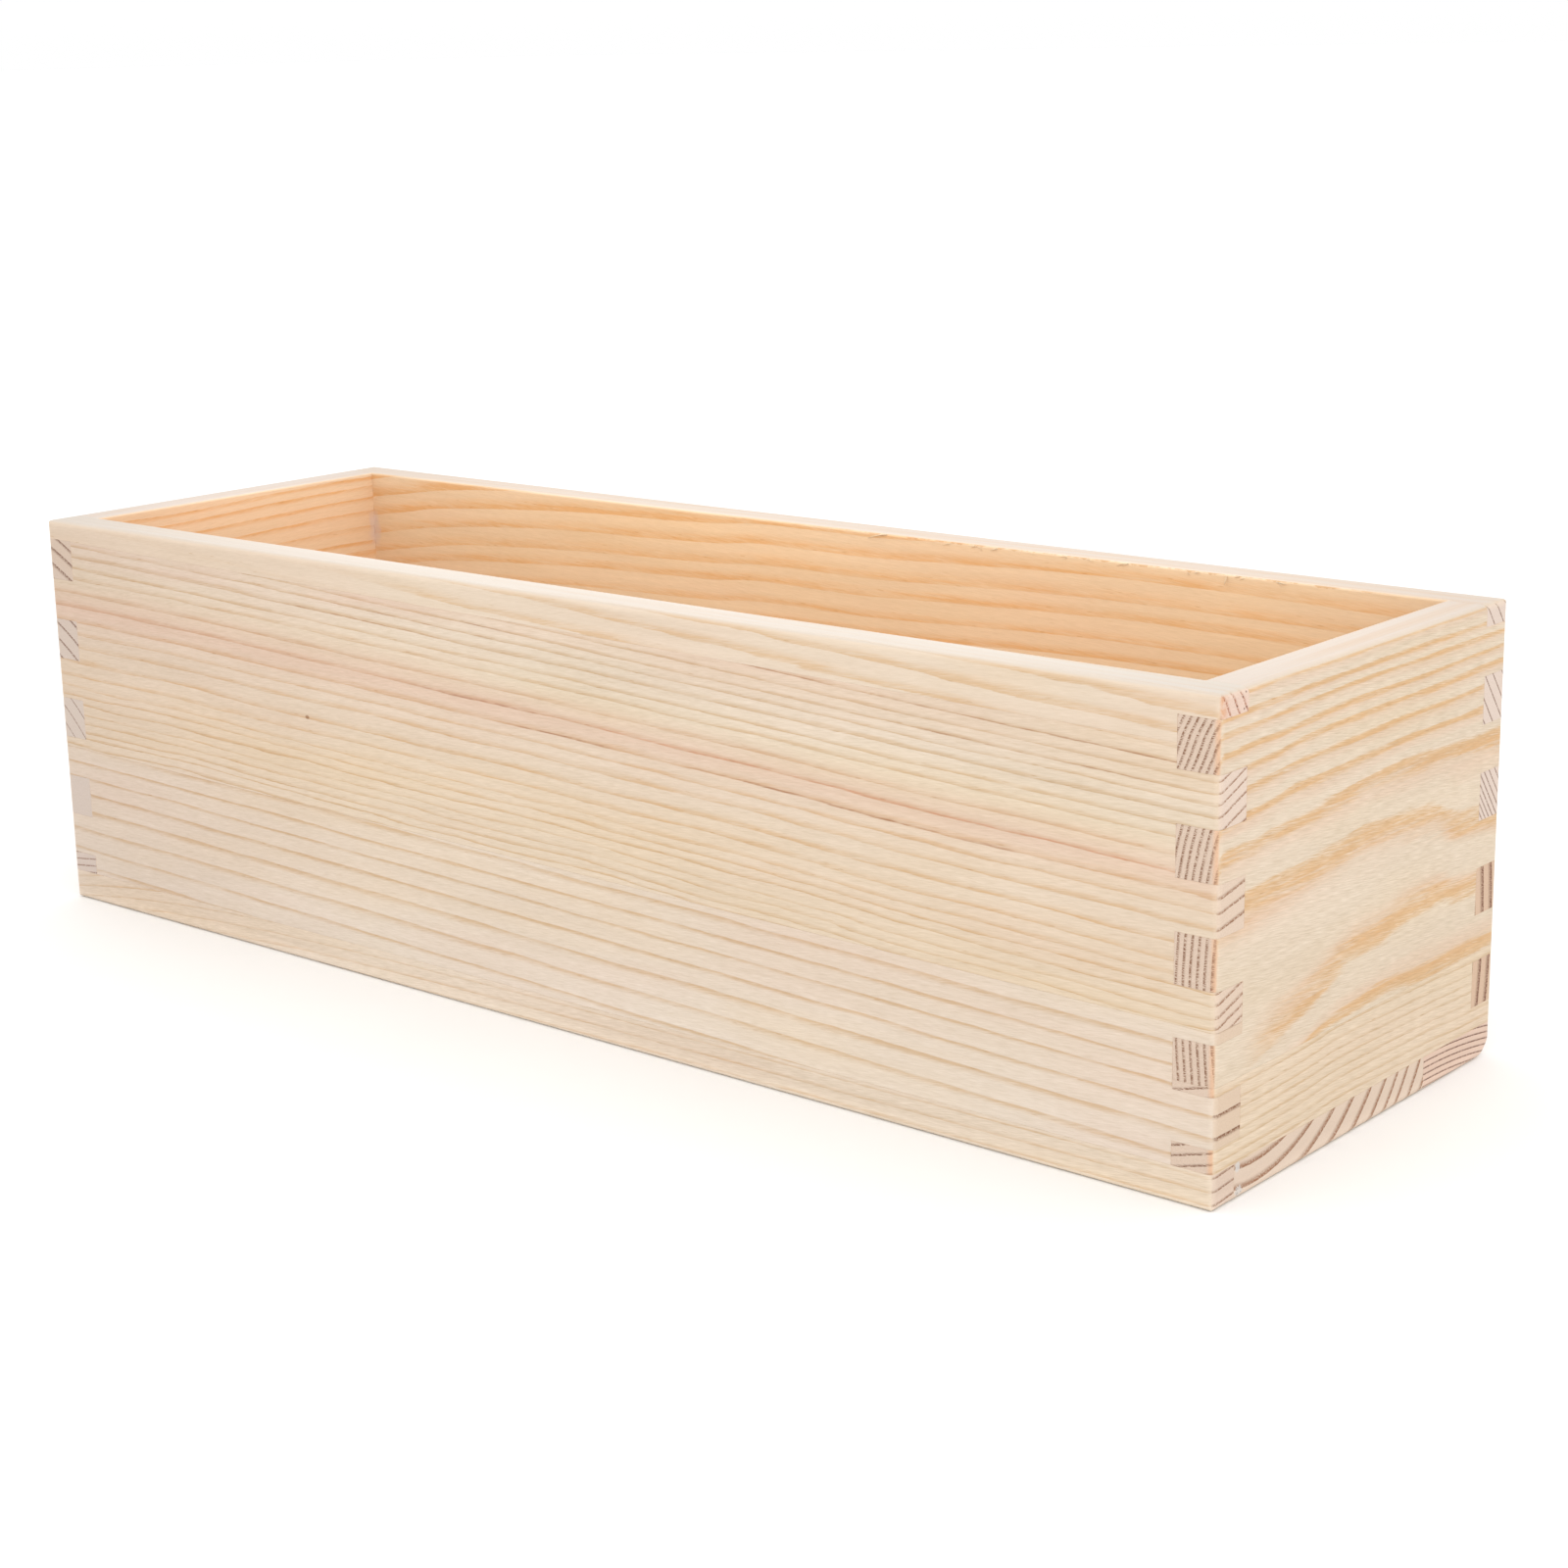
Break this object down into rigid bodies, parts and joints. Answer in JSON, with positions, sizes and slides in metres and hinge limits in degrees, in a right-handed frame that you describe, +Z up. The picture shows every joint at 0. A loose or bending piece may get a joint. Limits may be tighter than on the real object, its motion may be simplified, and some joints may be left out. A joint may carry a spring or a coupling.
{
  "type": "drawer organizer box",
  "caption": "Open-top rectangular pine box with finger-jointed corners and a flush glued bottom, for sorting papers, pens and keepsakes in a drawer or on a desk.",
  "frame": {"origin": "middle of the underside of the bottom panel", "axes": "+X along the length towards the right end, +Y from the front board to the back board, +Z up through the open top"},
  "size_m": [0.3, 0.096, 0.086],
  "materials": {
    "pine_front": "sanded bare pine, matte",
    "pine_back": "sanded bare pine, matte",
    "pine_ends": "sanded bare pine, matte",
    "pine_bottom": "sanded bare pine, matte"
  },
  "bodies": {
    "root": {"front_top_stave": "pine_front", "front_middle_stave": "pine_front", "front_lower_stave": "pine_front", "back_upper_stave": "pine_back", "back_lower_stave": "pine_back", "left_end_upper_stave": "pine_ends", "left_end_lower_stave": "pine_ends", "right_end_upper_stave": "pine_ends", "right_end_lower_stave": "pine_ends", "bottom_front_stave": "pine_bottom", "bottom_middle_stave": "pine_bottom", "bottom_back_stave": "pine_bottom"}
  },
  "joints": []
}
